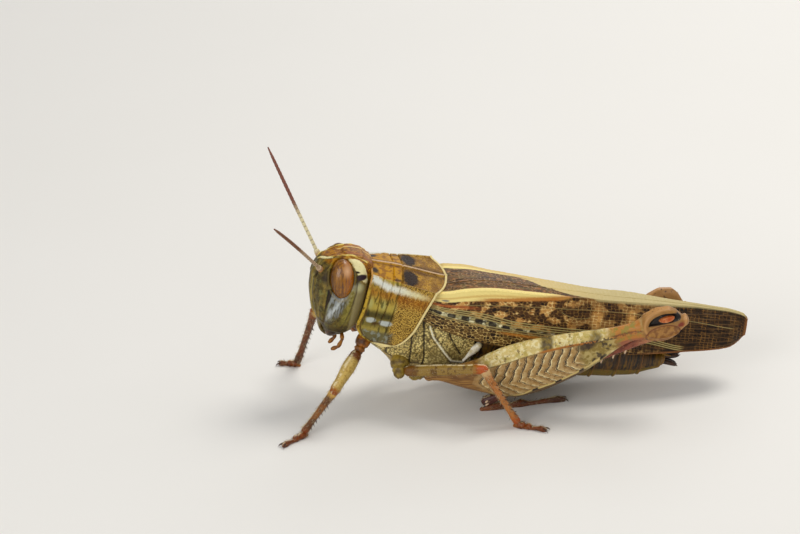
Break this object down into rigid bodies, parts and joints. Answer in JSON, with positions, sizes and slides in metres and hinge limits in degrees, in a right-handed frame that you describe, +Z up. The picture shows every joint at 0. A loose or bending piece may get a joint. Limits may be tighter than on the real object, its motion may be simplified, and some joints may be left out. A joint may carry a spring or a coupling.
{
  "type": "grasshopper",
  "caption": "Life-size model of a grasshopper standing at rest: folded striped wings, large hind legs under them, head raised and feelers forward.",
  "frame": {"origin": "on the floor, under the middle of the animal's box", "axes": "-X runs to the head and +X to the wing tips, +Y is the animal's right side, +Z is up from the floor"},
  "size_m": [0.0368, 0.0138, 0.0199],
  "materials": {
    "olive_cuticle": "satin",
    "pale_olive_cuticle": "satin",
    "gold_brown_cuticle": "satin, finely pitted",
    "wing_brown": "satin, veined",
    "wing_smoke": "satin",
    "femur_tan": "satin, with a herringbone of low ridges",
    "orange_brown_cuticle": "satin",
    "tibia_pink": "satin",
    "eye_brown": "gloss",
    "dark_horn": "satin"
  },
  "bodies": {
    "root": {"head": "pale_olive_cuticle", "labrum": "pale_olive_cuticle", "eye_left": "eye_brown", "antenna_left": "orange_brown_cuticle", "mandible_left": "dark_horn", "palp_left": "orange_brown_cuticle", "eye_right": "eye_brown", "antenna_right": "orange_brown_cuticle", "mandible_right": "dark_horn", "palp_right": "orange_brown_cuticle", "pronotum": "gold_brown_cuticle", "thorax": "olive_cuticle", "abdomen_segment_1": "olive_cuticle", "abdomen_segment_2": "olive_cuticle", "abdomen_segment_3": "olive_cuticle", "abdomen_segment_4": "olive_cuticle", "abdomen_segment_5": "olive_cuticle", "abdomen_segment_6": "olive_cuticle", "abdomen_segment_7": "olive_cuticle", "abdomen_segment_8": "olive_cuticle", "abdomen_tip": "olive_cuticle", "ovipositor_upper": "dark_horn", "ovipositor_lower": "dark_horn", "tegmen_left": "wing_brown", "hindwing_left": "wing_smoke", "tegmen_right": "wing_brown", "hindwing_right": "wing_smoke", "coxa_front_left": "olive_cuticle", "femur_front_left": "femur_tan", "tibia_front_left": "orange_brown_cuticle", "tarsus_front_left": "orange_brown_cuticle", "coxa_front_right": "olive_cuticle", "femur_front_right": "femur_tan", "tibia_front_right": "orange_brown_cuticle", "tarsus_front_right": "orange_brown_cuticle", "coxa_mid_left": "olive_cuticle", "femur_mid_left": "femur_tan", "tibia_mid_left": "orange_brown_cuticle", "tarsus_mid_left": "orange_brown_cuticle", "coxa_mid_right": "olive_cuticle", "femur_mid_right": "femur_tan", "tibia_mid_right": "orange_brown_cuticle", "tarsus_mid_right": "orange_brown_cuticle", "coxa_hind_left": "olive_cuticle", "femur_hind_left": "femur_tan", "tibia_hind_left": "tibia_pink", "tarsus_hind_left": "tibia_pink", "coxa_hind_right": "olive_cuticle", "femur_hind_right": "femur_tan", "tibia_hind_right": "tibia_pink", "tarsus_hind_right": "tibia_pink"}
  },
  "joints": []
}
